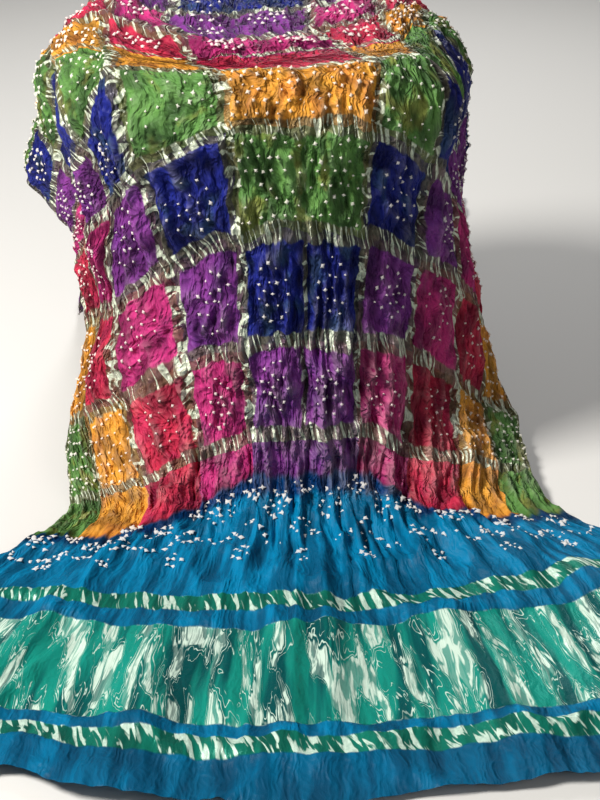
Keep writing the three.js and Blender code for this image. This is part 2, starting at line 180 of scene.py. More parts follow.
# How far the ties and hidden tucks have pulled the weave from its even place on the drape. A row is
# a place along the cloth, then the pulls at eleven places from the left selvedge (-1) to the right
# one (1), in half widths in the first table and in metres in the second. They were typed from a
# helper's printed shifts at lines of checks seen in the photograph, rounded, and filled in between.
PULLED_ACROSS = (
    (-0.600, 0, 0, 0, 0, 0, 0, 0, 0, 0, 0, 0),
    (-0.182, 0, -0.01, -0.02, -0.04, -0.06, -0.06, -0.04, -0.02, -0.03, -0.01, 0),
    (-0.020, 0, -0.03, -0.03, -0.03, -0.055, -0.09, -0.046, -0.03, -0.10, -0.04, 0),
    (0.085, 0, 0, 0.02, -0.01, -0.05, -0.10, -0.03, -0.03, -0.06, 0, 0),
    (0.139, 0, 0.02, 0.03, -0.02, -0.02, -0.04, 0, -0.03, 0, 0, 0),
    (0.170, 0, 0.05, 0.03, -0.02, -0.01, 0, 0.005, -0.01, 0.03, 0.02, 0),
    (0.246, 0, 0.04, 0, -0.03, 0, 0, 0, 0.055, 0.09, 0.04, 0),
    (0.353, 0, -0.06, -0.14, -0.034, 0, 0, 0.015, 0.055, 0.11, 0.06, 0),
    (0.410, 0, -0.08, -0.14, -0.025, 0, 0, 0.01, 0.03, 0.05, 0.03, 0),
    (0.470, 0, -0.06, -0.09, -0.005, 0.01, 0, -0.01, 0.005, 0.01, 0, 0),
    (0.567, 0, -0.03, -0.03, 0, 0.01, 0, -0.01, -0.02, 0.01, 0, 0),
    (0.700, 0, 0, 0, 0, 0, 0, 0, 0, 0, 0, 0),
)
PULLED_ALONG = (
    (-1.060, 0, 0, 0, 0, 0, 0, 0, 0, 0, 0, 0),
    (-0.560, 0.07, 0.07, 0.08, 0.09, 0.12, 0.12, 0.11, 0.08, 0.06, 0.05, 0.05),
    (-0.182, 0.10, 0.10, 0.10, 0.14, 0.200, 0.200, 0.170, 0.110, 0.07, 0.06, 0.06),
    (-0.075, 0.12, 0.12, 0.08, 0.135, 0.205, 0.201, 0.165, 0.105, 0.05, 0.05, 0.05),
    (0.032, 0.12, 0.110, 0.060, 0.094, 0.125, 0.134, 0.118, 0.086, 0.02, 0.03, 0.03),
    (0.139, 0.07, 0.065, 0.055, 0.015, 0.035, 0.044, 0.026, 0.012, 0.04, 0.03, 0.03),
    (0.246, 0.02, 0.02, 0.014, 0.000, -0.013, -0.008, -0.009, 0.002, -0.01, 0, 0),
    (0.353, 0, 0.005, 0.011, -0.002, -0.010, -0.011, -0.011, -0.012, -0.015, -0.003, 0),
    (0.460, 0.018, 0.018, 0.010, 0, -0.003, -0.003, -0.007, -0.012, 0, 0.014, 0.014),
    (0.567, 0.030, 0.030, 0.023, 0.001, -0.006, -0.010, -0.014, 0.006, 0.012, 0.014, 0.014),
    (0.690, 0.015, 0.015, 0.012, 0, 0, 0, 0, 0.005, 0.010, 0.010, 0.010),
    (0.830, 0, 0, 0, 0, 0, 0, 0, 0, 0, 0, 0),
)

# How far the hanging cloth is drawn in so that its crinkles lie about the solid's face.
DRAWN_IN = 0.008
FLANKS_DRAWN_IN = 0.006

# How far the hem is drawn back at places across, and how far from the hem that starts.
HEM_PULL = [
    dict(across=-1, pull=0), dict(across=-0.68, pull=0.006), dict(across=-0.56, pull=0.024),
    dict(across=-0.44, pull=0.002), dict(across=0, pull=0), dict(across=0.3, pull=0.010),
    dict(across=0.6, pull=0.002), dict(across=1, pull=0.012),
]
HEM_REACH = 0.16

# The mesh of the sheet.
CELLS_ACROSS = 300
STRETCHES = ((-0.6, 26), (-0.28, 22), (FRONT_LENGTH, 278))  # (to, cells)
EDGE_MARGIN = 0.003  # slopes are taken at least this far inside the ends
PLACE_STEP = 0.002  # and over this much cloth to each side
ACROSS_STEP = 0.004  # the same across, in half widths

# Heights of the relief, in the checks unless named otherwise. Crinkles that run lengthwise have
# a height in the checks, how much less it is in the blue ends and how much more at the pinch.
FINE_CRINKLES = (0.0056, 0.0036, 0.0050)
BROAD_CRINKLES = (0.0074, 0.0040, 0.0100)
CRUMPLES = 0.0082
WIDE_BAND_CRINKLES = 0.0060
BORDER_CREASES = 0.0080
RUFFLES = 0.0034  # along the metallic lines
PUFF = 0.0026  # of each check between its lines
TIE_IN_CHECKS, TIE_IN_BORDER = 0.0050, 0.0018
TIE_REACH = 0.0055
SEAM_DEPTH = 0.0014  # halfway between two ties
SEAM_REACH = 0.004
SEAM_LIMIT = 0.025  # no seams farther from a tie than this
SWAY = 0.010  # how far crinkles wander sideways
UNEVENNESS = 0.0020
LEAST_HEIGHT = 0.0005
FULL_CRINKLE = 0.012  # the crinkle attribute is 1 at this height

# The tied dots' knots: size in the blue ends, on the seat and in the other checks, then height.
KNOT_IN_BORDER, KNOT_ON_SEAT, KNOT_IN_CHECKS = 0.0036, 0.0028, 0.0023
KNOT_RISE_IN_BORDER, KNOT_RISE = 0.0006, 0.0010
KNOT_SUNK = 0.0012  # how deep the knots' rims lie in the cloth
KNOT_CORNERS = 8
KNOT_TURN_STEP = 0.006  # to the place that shows which way across is, in half widths

SEED = 7


# ---------------------------------------------------------------- numbers
def ease(x, low, high):
    k = np.clip((x - low) / (high - low), 0, 1)
    return k * k * (3 - 2 * k)


def hump(x, start, full, leaving, gone):
    """Rises from 0 to 1 and falls to 0 again."""
    return ease(x, start, full) * (1 - ease(x, leaving, gone))


def from_line(x, pitch):
    """Distance to the nearest of evenly spaced lines."""
    return np.abs((x / pitch + 0.5) % 1 - 0.5) * pitch


def column(table, key, name, place):
    """A table's column at a place between its rows, on a smooth curve."""
    places = np.array([row[key] for row in table])
    values = np.array([row[name] for row in table], float)
    low = np.maximum(np.arange(len(table)) - 1, 0)
    high = np.minimum(np.arange(len(table)) + 1, len(table) - 1)
    slopes = (values[high] - values[low]) / (places[high] - places[low])
    x = np.clip(place, places[0], places[-1])
    i = np.clip(np.searchsorted(places, x) - 1, 0, len(table) - 2)
    span = places[i + 1] - places[i]
    k = (x - places[i]) / span
    start = values[i] * (1 + 2 * k) * (1 - k) ** 2 + span * slopes[i] * k * (1 - k) ** 2
    end = values[i + 1] * k * k * (3 - 2 * k) + span * slopes[i + 1] * k * k * (k - 1)
    return start + end


def pulled(rows, across, along):
    """The pull at places of the weave, on a smooth surface through a table's values."""
    table = [dict(along=row[0], **{str(n): pull for n, pull in enumerate(row[1:])}) for row in rows]
    levels = np.stack([column(table, "along", str(n), along) for n in range(len(rows[0]) - 1)], -1)
    last = len(rows[0]) - 2
    place = np.clip((across + 1) * last / 2, 0, last - 0.0001)
    step = np.floor(place).astype(int)
    k = place - step
    before, start, end, after = (
        np.take_along_axis(levels, np.clip(step + n, 0, last)[..., None], -1)[..., 0] for n in (-1, 0, 1, 2))
    bend = 2 * before - 5 * start + 4 * end - after + k * (3 * (start - end) + after - before)
    return start + k / 2 * (end - before + k * bend)


LATTICE = np.random.default_rng(SEED).uniform(-1, 1, (8, 256, 256))


def noise(x, y, layer=0):
    """Smooth random heights between -1 and 1, one bump per unit."""
    grid = LATTICE[layer]
    i, j = np.floor(x).astype(int), np.floor(y).astype(int)
    fx, fy = x - i, y - j
    fx, fy = fx * fx * (3 - 2 * fx), fy * fy * (3 - 2 * fy)
    a, b = grid[i & 255, j & 255], grid[(i + 1) & 255, j & 255]
    c, d = grid[i & 255, (j + 1) & 255], grid[(i + 1) & 255, (j + 1) & 255]
    return (a * (1 - fx) + b * fx) * (1 - fy) + (c * (1 - fx) + d * fx) * fy


# ---------------------------------------------------------------- the drape
def reach_out(over):
    return FLAT_RADIUS + SHOULDER * np.sin(np.minimum(over / SHOULDER, math.pi / 2))


def cross_rim(side, along):
    """Where a thread crosses the rim, as an angle from the front, and its run past it."""
    quarter = math.pi / 2
    low, high = np.zeros_like(side), np.full_like(side, quarter)

    def turn_at(angle):
        share = angle / quarter
        return quarter * (CORNER_TURN * share + (1 - CORNER_TURN) * share ** CORNER_POWER)

    def over_at(angle):
        beyond = np.maximum(along - FLAT_RADIUS * np.cos(angle), 0)
        return beyond / np.maximum(np.cos(turn_at(angle)), 1e-9)

    for _ in range(40):
        angle = (low + high) / 2
        over = over_at(angle)
        reach = reach_out(over)
        across = reach * np.sin(angle) + (over - reach + FLAT_RADIUS) * np.sin(turn_at(angle))
        low = np.where(across < side, angle, low)
        high = np.where(across < side, high, angle)
    angle = (low + high) / 2
    over = np.where(angle > quarter - 1e-4, side - FLAT_RADIUS, over_at(angle))
    return angle, np.maximum(over, 0)


def on_seat(side, along):
    angle, over = cross_rim(np.abs(side), np.abs(along))
    bend = SHOULDER * math.pi / 2
    drop = np.maximum(over - bend, 0)
    flare = np.where(side < 0, FLARE_LEFT, FLARE_RIGHT)
    sideways = flare * np.maximum(over - bend / 2, 0) * (angle / (math.pi / 2)) ** 2
    radius = reach_out(over) + sideways + FLARE_ENDS * drop
    lowered = SHOULDER * (1 - np.cos(np.minimum(over / SHOULDER, math.pi / 2))) + drop
    past = np.stack([np.sign(side) * radius * np.sin(angle),
                     np.sign(along) * radius * np.cos(angle), REST_LEVEL - lowered], -1)
    level = np.stack([side, along, np.full_like(side, REST_LEVEL)], -1)
    return np.where((np.hypot(side, along) <= FLAT_RADIUS)[..., None], level, past)


def in_fall(table, across, along, lean):
    at = {name: column(table, "along", name, along) for name in FALL_COLUMNS[1:]}
    left = across < 0
    edge = {name: np.where(left, at["left" + name], at["right" + name]) for name in ("X", "Out", "Up")}
    spread = np.sin(at["bow"] * np.abs(across)) / np.sin(at["bow"])
    drop = (1 - np.cos(at["sag"] * across)) / (1 - np.cos(at["sag"]))
    return np.stack([lean + (edge["X"] - lean) * spread,
                     at["out"] + (edge["Out"] - at["out"]) * drop,
                     at["up"] + (edge["Up"] - at["up"]) * drop], -1)


def clear_of_rim(point):
    """Keeps the cloth off the pad, less and less below the board."""
    sunk = np.clip(REST_LEVEL - point[..., 2], 0, SHOULDER)
    least = FLAT_RADIUS + np.sqrt(SHOULDER ** 2 - (SHOULDER - sunk) ** 2)
    radius = np.hypot(point[..., 0], point[..., 1])
    near = ease(point[..., 2], BOARD_UNDER - PUSH_FADE, BOARD_UNDER)
    pushed = 1 + (least / np.maximum(radius, 1e-9) - 1) * near
    grow = np.where((sunk > 1e-5) & (radius < least), pushed, 1)
    point[..., 0] *= grow
    point[..., 1] *= grow
    return point


def drape(across, along):
    """The cloth's under face without its folds; here +Y is towards the front hem."""
    pull = column(HEM_PULL, "across", "pull", across)
    length = along - pull * ease(along, FRONT_LENGTH - HEM_REACH, FRONT_LENGTH)
    front = length >= 0
    ahead = np.abs(length)
    half = np.where(across < 0, column(GATHER, "along", "left", length),
                    column(GATHER, "along", "right", length))
    seat = on_seat(across * half, length)
    lean = np.where(front, CREASE_LEAN, 0)
    keep = 1 - np.where(across < 0, 0.6 * across ** 2, ease(across, 0.35, 0.8))
    seat[..., 0] += lean * ease(ahead, 0.06, 0.2) * keep
    falls = [in_fall(table, across, ahead, lean) for table in (FRONT_FALL, BACK_FALL)]
    falls[1][..., 1] *= -1
    fall = np.where(front[..., None], falls[0], falls[1])
    share = ease(ahead, 0.2 - 0.12 * across ** 2, 0.36 - 0.15 * across ** 2)[..., None]
    return clear_of_rim(seat * (1 - share) + fall * share)


def fold_height(across, along):
    here = np.stack([across * WIDTH / 2, along], -1)
    height = np.zeros_like(across)
    for row in FOLDS + CREASES:
        from_across, from_along, to_across, to_along, width, rise = row[:6]
        steep = row[6] if len(row) > 6 else 1
        start = np.array([from_across * WIDTH / 2, from_along])
        run = np.array([to_across * WIDTH / 2, to_along]) - start
        length = np.linalg.norm(run)
        run /= length
        offset = here - start
        passed = offset @ run
        aside = offset[..., 0] * run[1] - offset[..., 1] * run[0]
        wide = width * np.where(aside < 0, steep, 1)
        past = np.maximum(np.maximum(-passed, passed - length), 0)
        height += rise * np.exp(-(aside / wide) ** 2 - (past / FOLD_FADE) ** 2)
    return height


# ---------------------------------------------------------------- tied dots
def dots_in_checks(rng):
    """Places (across, woven distance, dye) of the tied dots in each check."""
    spots = []
    for row in range(LAST_ROW + 1):
        for col in range(-HALF_CHECKS, HALF_CHECKS):
            middle_u = (col + 0.5) * CHECK_WIDTH
            middle_v = CHECKS_START + (row + 0.5) * CHECK_LENGTH
            hue = hue_of(col, row)
            if row == TUCKED_ROW and -3 < col < 3:
                continue
            places = lattice(rng) if hue in (ORANGE, GREEN) else rosette(rng)
            spots += [(middle_u + u, middle_v + v, hue) for u, v in places]
    return spots


def rosette(rng):
    """A heart dot, six around it and eleven around those."""
    shift = rng.uniform(-0.006, 0.006, 2)
    places = []
    for count, wide, tall in ((1, 0, 0), (6, 0.0125, 0.0130), (11, 0.0245, 0.0275)):
        start = rng.uniform(0, math.tau)
        for n in range(count):
            if rng.random() < 0.07:
                continue
            turn = start + math.tau * (n + rng.normal(0, 0.10)) / count
            reach = rng.normal(1, 0.07)
            places.append((shift[0] + wide * reach * math.cos(turn),
                           shift[1] + tall * reach * math.sin(turn)))
    return places


def lattice(rng):
    """Slanted rows of dots over the whole check."""
    count, pitch, slant, loose = 6, 0.0145, 0.0070, 0.0016
    middle = (count - 1) / 2
    places = []
    for j in range(count):
        for i in range(count):
            if rng.random() < 0.10:
                continue
            u = (i - middle) * pitch + (j % 2 - 0.5) * slant
            v = (j - middle) * pitch
            places.append((u + rng.normal(0, loose), v + rng.normal(0, loose)))
    return places


def hue_of(col, row):
    """Which of the six dyes a check has."""
    ring = col if col >= 0 else -1 - col
    return (ring - row) % DYE_COUNT


def dye_edge(u):
    """Where the blue starts, from the hem: nearer to it at the sides."""
    return DYE_CHANGE - DYE_RISE * ease(np.abs(u), 0.12, 0.30)


def dots_in_border(rng):
    """Rosettes, rings and garlands in the blue field of each end, closer together at its sides."""
    low = NARROW_BAND_2[1] + 0.01
    # each motif: its place in a check's width and from the hem, its half width and height, dots
    motifs = [(0, heart, 0.0095, 0.0095, 6) for heart in (0.433, 0.318)]
    motifs += [(0, heart, 0, 0, 1) for heart in (0.433, 0.318)]
    motifs += [(0.5, 0.405, 0.021, 0.017, 9), (0.5, 0.405, 0.008, 0.006, 3)]
    motifs += [(0, 0.362, 0.017, 0.013, 8)]
    garland_dots = 9
    out = []
    for flip in (False, True):
        for col in range(-HALF_CHECKS, HALF_CHECKS):
            spots = []
            for share, heart, wide, tall, count in motifs:
                start = rng.uniform(0, math.tau)
                for n in range(count):
                    turn = start + math.tau * n / count
                    spots.append((share * CHECK_WIDTH + wide * math.cos(turn),
                                  heart + tall * math.sin(turn)))
            for n in range(garland_dots):
                share = (n + 0.5) / garland_dots
                dip = 0.030 * math.sin(math.pi * share)
                spots.append((share * CHECK_WIDTH, 0.376 - dip))
                if n % 2:
                    spots.append((share * CHECK_WIDTH, 0.440 - dip / 3))
            for u, v in spots:
                u += col * CHECK_WIDTH + rng.normal(0, 0.0018)
                v += rng.normal(0, 0.0018)
                v = low + (v - low) * (dye_edge(u) - low) / (DYE_CHANGE - low)
                if abs(u) < WIDTH / 2 - 0.006 and rng.random() < 0.93:
                    out.append((u, LENGTH - v if flip else v, BORDER_HUE))
    return out


rng = np.random.default_rng(SEED)
DOTS = np.array(dots_in_checks(rng) + dots_in_border(rng))
FAR = 0.04  # distances to dots aren't followed farther than this


def knot_distances(u, v):
    """Distances in the flat cloth to the nearest tied dot and to the next one."""
    flat_u, flat_v = u.ravel(), v.ravel()
    found = np.full((2, len(flat_u)), FAR)
    order = np.argsort(flat_v, kind="stable")
    for part in np.array_split(order, max(1, len(order) // 500)):
        low, high = flat_v[part[0]] - FAR, flat_v[part[-1]] + FAR
        near = DOTS[(DOTS[:, 1] > low) & (DOTS[:, 1] < high)]
        if len(near) > 1:
            away = np.hypot(flat_u[part, None] - near[:, 0], flat_v[part, None] - near[:, 1])
            away.partition(1, axis=1)
            found[:, part] = np.minimum(away[:, :2].T, FAR)
    return found[0].reshape(u.shape), found[1].reshape(u.shape)


# ---------------------------------------------------------------- relief
def ridges(x, y, layer):
    """Sharp crests and round hollows, between 0 and 1."""
    return (1 - np.abs(noise(x, y, layer))) ** 2


def cells(x, y, layer):
    """Distance to the nearest of scattered points, one a unit: hollows with creased crests."""
    i, j = np.floor(x).astype(int), np.floor(y).astype(int)
    nearest = np.full(x.shape, 2.0)
    for across in (-1, 0, 1):
        for along in (-1, 0, 1):
            cell = (i + across) & 255, (j + along) & 255
            point_x = i + across + 0.5 + 0.48 * LATTICE[layer][cell]
            point_y = j + along + 0.5 + 0.48 * LATTICE[layer + 1][cell]
            nearest = np.minimum(nearest, np.hypot(x - point_x, y - point_y))
    return nearest


def at_tuck(along):
    """1 where a row of checks is taken up over the front of the rim."""
    return hump(along, 0.0, 0.05, 0.12, 0.16)


def lengthwise_crinkles(heights, loose, pinch, shape):
    in_checks, less, more = heights
    return (in_checks - less * loose + more * pinch) * shape


def relief(across, along, at):
    """Height of the relief above the plain drape, the crinkles' own height and the nearest dot.

    The relief belongs to a place of the weave; at is where on the drape that place lies.
    """
    u = across * WIDTH / 2
    v = FRONT_LENGTH - along
    end = np.minimum(v, LENGTH - v)
    checks = ease(end - dye_edge(u), -0.02, 0.03)
    loose = 1 - checks
    band = hump(end, WIDE_BAND[0] - 0.01, WIDE_BAND[0] + 0.005, WIDE_BAND[1] - 0.005, WIDE_BAND[1] + 0.01)
    pinch = hump(along, 0.40, 0.60, 0.68, 0.84) * (0.5 + 0.8 * np.exp(-((across - 0.18) / 0.25) ** 2))
    seat = 1 - ease(np.abs(at), 0.10, 0.20)

    nearest, next_one = knot_distances(u, v)
    pucker = np.exp(-nearest / TIE_REACH)
    seam = np.exp(-(next_one - nearest) / SEAM_REACH) * (nearest < SEAM_LIMIT)
    tied = (TIE_IN_CHECKS * checks + TIE_IN_BORDER * loose) * pucker - SEAM_DEPTH * checks * seam

    line = from_line(v - CHECKS_START, CHECK_LENGTH)
    post = from_line(u, CHECK_WIDTH)
    puff = PUFF * checks * ease(line, 0.004, 0.022) * ease(post, 0.002, 0.02)
    ruffle = RUFFLES * checks * (1 - ease(line, 0.006, 0.020)) * ridges(u * 92, v * 9, 6)
    tuck = at_tuck(along) * (1 - ease(np.abs(across), 0.35, 0.55))
    rim = hump(at, 0.07, 0.12, 0.18, 0.26)
    calm = (1 - 0.8 * tuck) * (1 - 0.3 * rim) * (1 - 0.35 * checks * ease(np.abs(across), 0.45, 0.65))

    sway = SWAY * noise(u * 18, v * 9, 1)
    other_sway = SWAY * noise(u * 20 + 40, v * 20, 1)
    fine = cells((u + sway) * 105, v * 21 + u * 9, 2)
    broad = cells((u + 2 * sway) * 46, v * 10 + 3, 4)
    crumple = cells((u + other_sway) * 62, (v + sway) * 46, 5)
    soft = noise(u * 11, v * 9 + 7, 5) + 1
    lengthwise = lengthwise_crinkles(FINE_CRINKLES, loose, pinch, fine)
    lengthwise += lengthwise_crinkles(BROAD_CRINKLES, loose, pinch, broad)
    crinkle = lengthwise * (1 - 0.45 * seat) * (1 - 0.5 * band)
    crinkle += CRUMPLES * crumple * (0.12 + 0.88 * checks)
    crinkle += band * WIDE_BAND_CRINKLES * cells((u + sway) * 24, v * 8, 6)
    crinkle += loose * (1 - band) * BORDER_CREASES * ridges(u * 13 + v * 9, v * 17 - u * 6, 7)
    crinkle += tied + ruffle
    height = crinkle * calm + puff * (1 - tuck) + UNEVENNESS * soft + LEAST_HEIGHT
    return height, crinkle, nearest


def shifted(across, along):
    """Where on the drape each place of the weave lies."""
    u, v = across * WIDTH / 2, FRONT_LENGTH - along
    keep = (1 - 0.5 * ease(np.abs(along), 0.8, 1.0)) * (1 - 0.7 * at_tuck(along))
    slide_u = 0.0040 * noise(u * 24, v * 22, 1) + 0.0016 * noise(u * 70, v * 70, 2)
    slide_v = 0.0050 * noise(u * 22 + 30, v * 24, 3) + 0.0016 * noise(u * 60 + 9, v * 60, 4)
    to_across = across + slide_u * keep / (WIDTH / 2) + pulled(PULLED_ACROSS, across, along)
    return to_across, along + slide_v * keep + pulled(PULLED_ALONG, across, along)


def cloth_points(across, along):
    """Places, outward directions, crinkle heights and knot distances for places of the cloth."""
    to_across, to_along = shifted(across, along)
    height, crinkle, nearest = relief(across, along, to_along)
    across, along = np.clip(to_across, -1, 1), to_along
    height = height + fold_height(across, along)
    point = drape(across, along)
    x = np.clip(across, ACROSS_STEP - 1, 1 - ACROSS_STEP)
    y = np.clip(along, EDGE_MARGIN - BACK_LENGTH, FRONT_LENGTH - EDGE_MARGIN)
    sideways = drape(x + ACROSS_STEP, y) - drape(x - ACROSS_STEP, y)
    lengthways = drape(x, y + PLACE_STEP) - drape(x, y - PLACE_STEP)
    outward = np.cross(sideways, lengthways)
    outward /= np.linalg.norm(outward, axis=-1, keepdims=True)
    sunk = REST_LEVEL - point[..., 2]
    hanging = ease(sunk, 0.05, 0.11) * ease(point[..., 2], 0.01, 0.06)
    flank = ease(np.hypot(point[..., 0], point[..., 1]), RIM_RADIUS + 0.01, RIM_RADIUS + 0.03)
    flank = flank * ease(sunk, 0.03, 0.06) * ease(point[..., 2], 0.15, 0.25)
    height = height - DRAWN_IN * hanging - FLANKS_DRAWN_IN * flank
    point = point + outward * (SKIN + height)[..., None]
    point[..., 2] = np.maximum(point[..., 2], SKIN)
    point[..., 1] *= -1
    outward[..., 1] *= -1
    return point + AXIS * (1, 1, 0), outward, crinkle, nearest


# ---------------------------------------------------------------- meshes
def new_piece(name, verts, faces):
    mesh = bpy.data.meshes.new(name)
    mesh.from_pydata([tuple(v) for v in verts], [], faces)
    mesh.validate()
    for polygon in mesh.polygons:
        polygon.use_smooth = True
    piece = bpy.data.objects.new(name, mesh)
    bpy.context.scene.collection.objects.link(piece)
    return piece


def set_flat_places(piece, u, v):
    """Keeps each vertex's place in the flat cloth, as shares of its width and length."""
    layer = piece.data.uv_layers.new(name="flat_cloth")
    loops = np.zeros(len(piece.data.loops), int)
    piece.data.loops.foreach_get("vertex_index", loops)
    uv = np.stack([u / WIDTH + 0.5, v / LENGTH], -1)[loops]
    layer.data.foreach_set("uv", uv.ravel())


def set_values(piece, name, values):
    layer = piece.data.attributes.new(name, "FLOAT", "POINT")
    layer.data.foreach_set("value", np.asarray(values, float).ravel())


def build_cloth():
    stations = [-BACK_LENGTH]
    for to, count in STRETCHES:
        start = stations[-1]
        stations += [start + (to - start) * (i + 1) / count for i in range(count)]
    across_line = np.linspace(-1, 1, CELLS_ACROSS + 1)
    along, across = np.meshgrid(np.array(stations), across_line, indexing="ij")
    point, _, crinkle, _ = cloth_points(across, along)
    rows, columns = across.shape
    index = np.arange(rows * columns).reshape(rows, columns)
    corners = (index[:-1, :-1], index[1:, :-1], index[1:, 1:], index[:-1, 1:])
    faces = np.stack(corners, -1).reshape(-1, 4)
    piece = new_piece("draped_cloth", point.reshape(-1, 3), faces.tolist())
    u, v = (across * WIDTH / 2).ravel(), (FRONT_LENGTH - along).ravel()
    set_flat_places(piece, u, v)
    set_values(piece, "crinkle", crinkle / FULL_CRINKLE)
    return piece


def build_knots():
    """The tied dots as small pinched stars of undyed cloth, all in one mesh."""
    rng = np.random.default_rng(SEED + 1)
    u, v, hue = DOTS.T
    across, along = u / (WIDTH / 2), FRONT_LENGTH - v
    inside = (along > -BACK_LENGTH) & (along < FRONT_LENGTH)
    u, v, hue, across, along = (a[inside] for a in (u, v, hue, across, along))
    middle, outward, _, _ = cloth_points(across, along)
    step, _, _, _ = cloth_points(across + KNOT_TURN_STEP, along)
    first = step - middle
    first -= outward * (first * outward).sum(-1, keepdims=True)
    first /= np.linalg.norm(first, axis=-1, keepdims=True)
    second = np.cross(outward, first)
    seat_start, seat_end = (CHECKS_START + row * CHECK_LENGTH for row in SEAT_ROWS)
    verts, faces, uvs, tips = [], [], [], []
    for n in range(len(u)):
        size, tall = KNOT_IN_CHECKS, KNOT_RISE
        if hue[n] == BORDER_HUE:
            size, tall = KNOT_IN_BORDER, KNOT_RISE_IN_BORDER
        elif seat_start < v[n] < seat_end:
            size = KNOT_ON_SEAT
        size *= rng.uniform(0.6, 1.3)
        tall *= rng.uniform(0.6, 1.3)
        stretch = rng.uniform(0.6, 1.25)
        spin = rng.uniform(0, math.pi)
        base = len(verts)
        for k in range(KNOT_CORNERS):
            turn = spin + math.tau * k / KNOT_CORNERS
            reach = size * (rng.uniform(0.85, 1.2) if k % 2 else rng.uniform(0.40, 0.65))
            verts.append(middle[n] + first[n] * reach * math.cos(turn)
                         + second[n] * reach * stretch * math.sin(turn) - outward[n] * KNOT_SUNK)
            tips.append(0.5 if k % 2 else 0.8)
        lean = rng.uniform(-0.25, 0.25, 2) * size
        verts.append(middle[n] + outward[n] * tall + first[n] * lean[0] + second[n] * lean[1])
        tips.append(1)
        uvs += [(u[n], v[n])] * (KNOT_CORNERS + 1)
        faces += [(base + k, base + (k + 1) % KNOT_CORNERS, base + KNOT_CORNERS)
                  for k in range(KNOT_CORNERS)]
    piece = new_piece("tied_dots", verts, faces)
    uvs = np.array(uvs)
    set_flat_places(piece, uvs[:, 0], uvs[:, 1])
    set_values(piece, "tip", tips)
    return piece


# ---------------------------------------------------------------- material nodes
class Sum:
    """A value in a node tree that can be written in sums."""

    def __init__(self, tree, socket):
        self.tree = tree
        self.socket = socket

    def node(self, kind, *inputs, **settings):
        made = self.tree.nodes.new(kind)
        for key, value in settings.items():
            setattr(made, key, value)
        for place, value in zip(made.inputs, inputs):
            plug(self.tree, place, value)
        return made

    def math(self, operation, *others):
        return Sum(self.tree, self.node("ShaderNodeMath", self, *others, operation=operation).outputs[0])

    def __add__(self, other):
        return self.math("ADD", other)

    def __sub__(self, other):
        return self.math("SUBTRACT", other)

    def __mul__(self, other):
        return self.math("MULTIPLY", other)

    def __truediv__(self, other):
        return self.math("DIVIDE", other)

    def __rsub__(self, other):
        return (self * -1) + other

    def floor(self):
        return self.math("FLOOR")

    def fract(self):
        return self.math("FRACT")

    def abs(self):
        return self.math("ABSOLUTE")

    def low(self, other):
        return self.math("MINIMUM", other)

    def high(self, other):
        return self.math("MAXIMUM", other)

    def above(self, other):
        return self.math("GREATER_THAN", other)

    def wrap(self, size):
        return self.math("FLOORED_MODULO", size)

    def ease(self, start, stop):
        made = self.node("ShaderNodeMapRange", interpolation_type="SMOOTHSTEP")
        plug(self.tree, made.inputs["Value"], self)
        made.inputs["From Min"].default_value = start
        made.inputs["From Max"].default_value = stop
        return Sum(self.tree, made.outputs["Result"])

    def between(self, start, stop, soft):
        return self.ease(start - soft, start + soft) * self.ease(stop + soft, stop - soft)


def plug(tree, place, value):
    if isinstance(value, Sum):
        tree.links.new(value.socket, place)
    elif isinstance(value, bpy.types.NodeSocket):
        tree.links.new(value, place)
    elif value is not None:
        place.default_value = value


def linear(*srgb):
    """An sRGB colour given 0 to 255 as the linear one that shaders use."""
    return tuple((c / 255 / 12.92) if c < 11 else ((c / 255 + 0.055) / 1.055) ** 2.4 for c in srgb) + (1,)


def mixed(share, first, second, how="MIX"):
    tree = share.tree
    made = tree.nodes.new("ShaderNodeMix")
    made.data_type = "RGBA"
    made.blend_type = how
    plug(tree, made.inputs[0], share)
    plug(tree, made.inputs[6], first)
    plug(tree, made.inputs[7], second)
    return Sum(tree, made.outputs[2])


def flat_texture(tree, kind, x, y, detail):
    """A texture node of a 2D kind over two sums, one feature a unit."""
    join = tree.nodes.new("ShaderNodeCombineXYZ")
    plug(tree, join.inputs[0], x)
    plug(tree, join.inputs[1], y)
    made = tree.nodes.new(kind)
    made.inputs["Scale"].default_value = 1
    made.inputs["Detail"].default_value = detail
    tree.links.new(join.outputs[0], made.inputs["Vector"])
    return made


def grain(tree, x, y, detail=2.0, distortion=0.0):
    """Noise between about 0.2 and 0.8 over two sums."""
    made = flat_texture(tree, "ShaderNodeTexNoise", x, y, detail)
    made.noise_dimensions = "2D"
    made.noise_type = "FBM"
    made.inputs["Distortion"].default_value = distortion
    return Sum(tree, made.outputs[0])


def creased(tree, x, y, detail=0.0):
    """Round hollows near 0 with creased crests between them, up to about 0.8."""
    made = flat_texture(tree, "ShaderNodeTexVoronoi", x, y, detail)
    made.voronoi_dimensions = "2D"
    return Sum(tree, made.outputs["Distance"])


def stepped_colours(share, colours):
    """One of several colours by a share from 0 to 1, with hard steps."""
    tree = share.tree
    made = tree.nodes.new("ShaderNodeValToRGB")
    ramp = made.color_ramp
    ramp.interpolation = "CONSTANT"
    while len(ramp.elements) < len(colours):
        ramp.elements.new(0.5)
    for n, colour in enumerate(colours):
        ramp.elements[n].position = n / len(colours)
        ramp.elements[n].color = colour
    plug(tree, made.inputs[0], share)
    return Sum(tree, made.outputs[0])


def add_bump(tree, shader, height, strength, distance):
    bump = tree.nodes.new("ShaderNodeBump")
    bump.inputs["Strength"].default_value = strength
    bump.inputs["Distance"].default_value = distance
    plug(tree, bump.inputs["Height"], height)
    tree.links.new(bump.outputs[0], shader.inputs["Normal"])


def new_material(name):
    material = bpy.data.materials.new(name)
    material.use_nodes = True
    tree = material.node_tree
    return material, tree, tree.nodes["Principled BSDF"]


